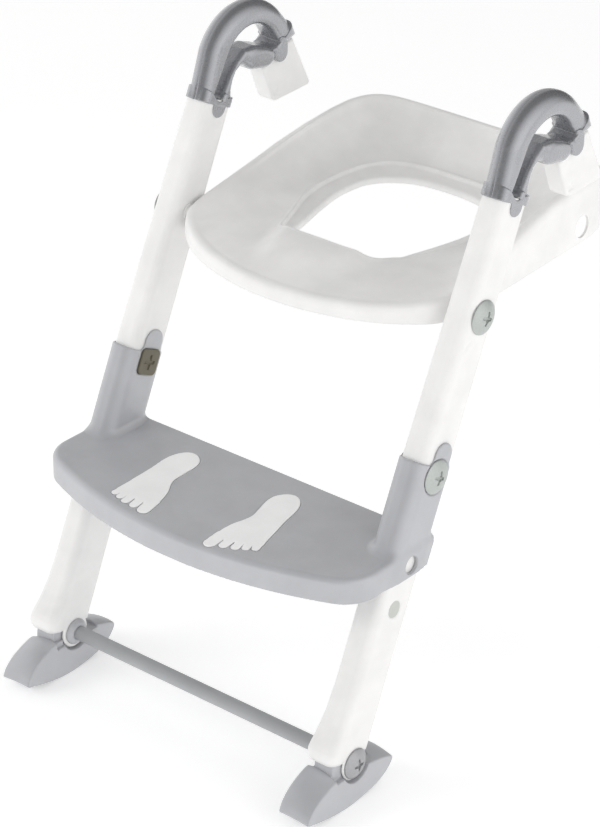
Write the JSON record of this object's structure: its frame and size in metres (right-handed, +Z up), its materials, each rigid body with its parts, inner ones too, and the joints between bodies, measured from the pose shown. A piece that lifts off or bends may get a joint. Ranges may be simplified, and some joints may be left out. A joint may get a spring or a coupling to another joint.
{
  "type": "potty training chair",
  "caption": "Toilet training ladder seat: a folding child seat between two leaning rails, with a wide step, hooked hand grips, telescoping legs, a tie rod and rocking feet.",
  "frame": {"origin": "on the floor, under the middle of the whole chair, with the feet at rest on the floor and the legs fully out", "axes": "+Z up, +X across the chair to its right as seen from the step side, -Y towards the child climbing up, +Y towards the toilet"},
  "size_m": [0.4124, 0.5363, 0.6406],
  "materials": {
    "grey_shell": "satin silver-grey moulded plastic",
    "white_shell": "satin off-white moulded plastic",
    "white_inlay": "smooth white inlay",
    "grey_knob": "satin grey moulded screw head",
    "olive_plate": "dark olive moulded nut plate",
    "rod_grey": "grey powder-coated tube",
    "steel": "zinc-plated steel",
    "bush": "dark low-friction plastic",
    "pad": "dark grey rubber"
  },
  "bodies": {
    "frame": {"step": "grey_shell", "footprint_left": "white_inlay", "footprint_right": "white_inlay", "rail_left": "white_shell", "rail_right": "white_shell", "handle_left_outer": "grey_shell", "handle_left_inner": "grey_shell", "handle_right_outer": "grey_shell", "handle_right_inner": "grey_shell", "handle_end_left": "white_shell", "handle_end_right": "white_shell", "clamp_screws": "grey_knob", "clamp_nuts": "olive_plate", "seat_screws": "grey_knob", "seat_nuts": "steel"},
    "seat": {"seat_shell": "white_shell", "seat_bushes": "bush", "seat_pads": "pad"},
    "legs": {"leg_left": "white_shell", "leg_right": "white_shell", "tie_rod": "rod_grey", "rod_discs": "grey_shell", "rod_screws": "grey_knob"},
    "foot_left": {"foot_left": "grey_shell", "sole_left": "pad"},
    "foot_right": {"foot_right": "grey_shell", "sole_right": "pad"}
  },
  "joints": [
    {"name": "seat_fold", "type": "hinge", "parent": "frame", "child": "seat", "pos_m": [0, -0.01059, 0.44961], "axis": [1, 0, 0], "range_deg": [0, 65]},
    {"name": "leg_height", "type": "slide", "parent": "frame", "child": "legs", "axis": [0, 0.4226, 0.9063], "range_m": [0, 0.046]},
    {"name": "foot_left_tilt", "type": "hinge", "parent": "legs", "child": "foot_left", "pos_m": [-0.184, -0.195, 0.0435], "axis": [1, 0, 0], "range_deg": [-8, 8]},
    {"name": "foot_right_tilt", "type": "hinge", "parent": "legs", "child": "foot_right", "pos_m": [0.184, -0.195, 0.0435], "axis": [1, 0, 0], "range_deg": [-8, 8]}
  ]
}
